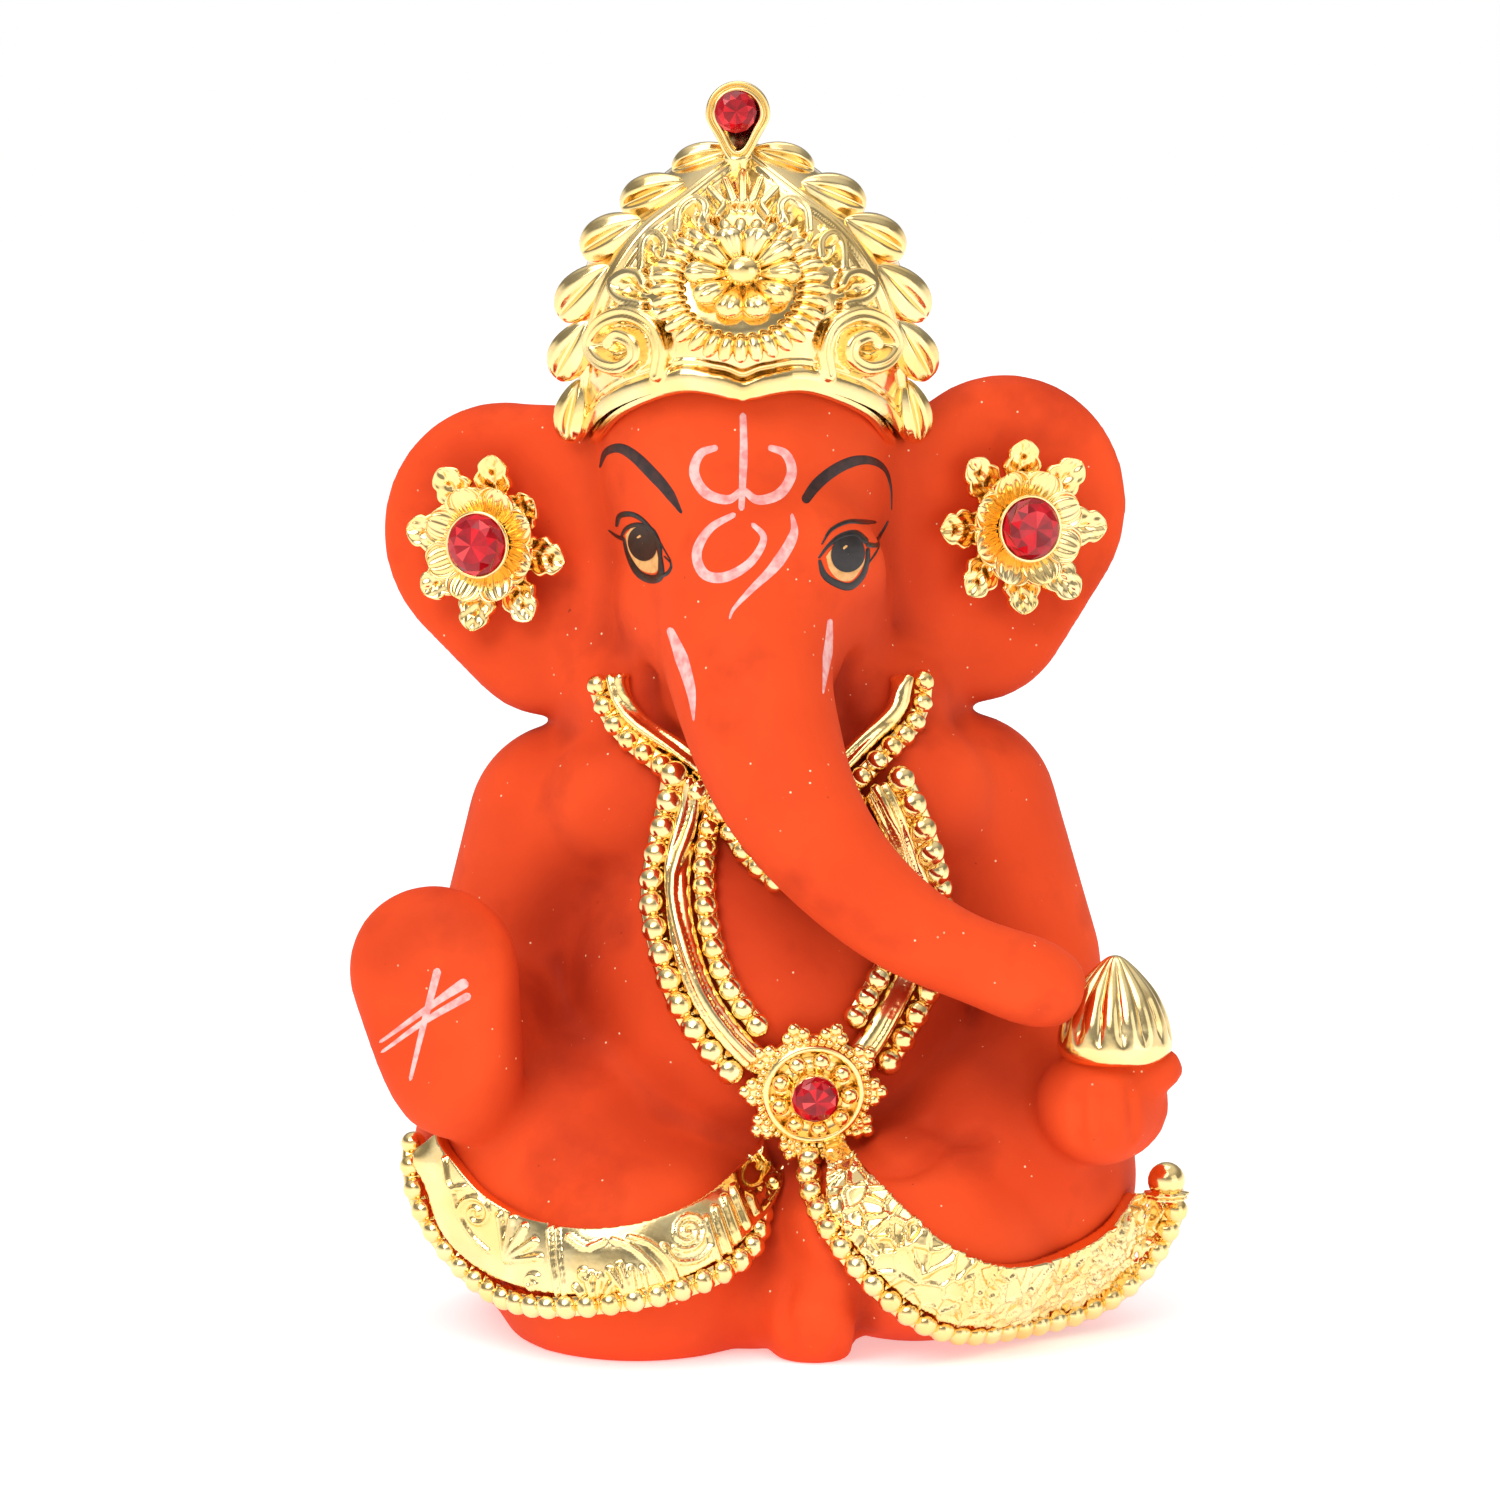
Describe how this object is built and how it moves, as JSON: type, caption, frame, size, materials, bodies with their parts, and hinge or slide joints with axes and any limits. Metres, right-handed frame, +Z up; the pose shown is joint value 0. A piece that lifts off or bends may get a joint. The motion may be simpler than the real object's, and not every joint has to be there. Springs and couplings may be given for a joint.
{
  "type": "seated elephant-headed deity figurine",
  "caption": "Matt orange-red cast figurine, seated with one palm raised and a sweet in the other hand, wearing gold-plated crown, earrings, necklaces and cloth borders with red stones.",
  "frame": {"origin": "centre of the bounding box on the flat resting face", "axes": "+Z up through the crown, the figure faces -Y, +X is the figure's left"},
  "size_m": [0.0576, 0.0408, 0.0862],
  "materials": {
    "painted_body": "matt paint with fine sparkle",
    "gold_plate": "bright gold electroplating",
    "ruby_stone": "faceted, foiled back"
  },
  "bodies": {
    "root": {"idol_body": "painted_body", "crown_shell": "gold_plate", "crown_rosette": "gold_plate", "crown_gem": "ruby_stone", "earring_right_petals": "gold_plate", "earring_right_cup": "gold_plate", "earring_right_gem": "ruby_stone", "earring_left_petals": "gold_plate", "earring_left_cup": "gold_plate", "earring_left_gem": "ruby_stone", "collar_band": "gold_plate", "collar_beads": "gold_plate", "long_necklace_band": "gold_plate", "long_necklace_outer_beads": "gold_plate", "long_necklace_inner_beads": "gold_plate", "pendant_disc": "gold_plate", "pendant_gem": "ruby_stone", "modak": "gold_plate", "border_right_strip": "gold_plate", "border_right_beads": "gold_plate", "border_left_strip": "gold_plate", "border_left_beads": "gold_plate", "border_left_finial": "gold_plate"}
  },
  "joints": []
}
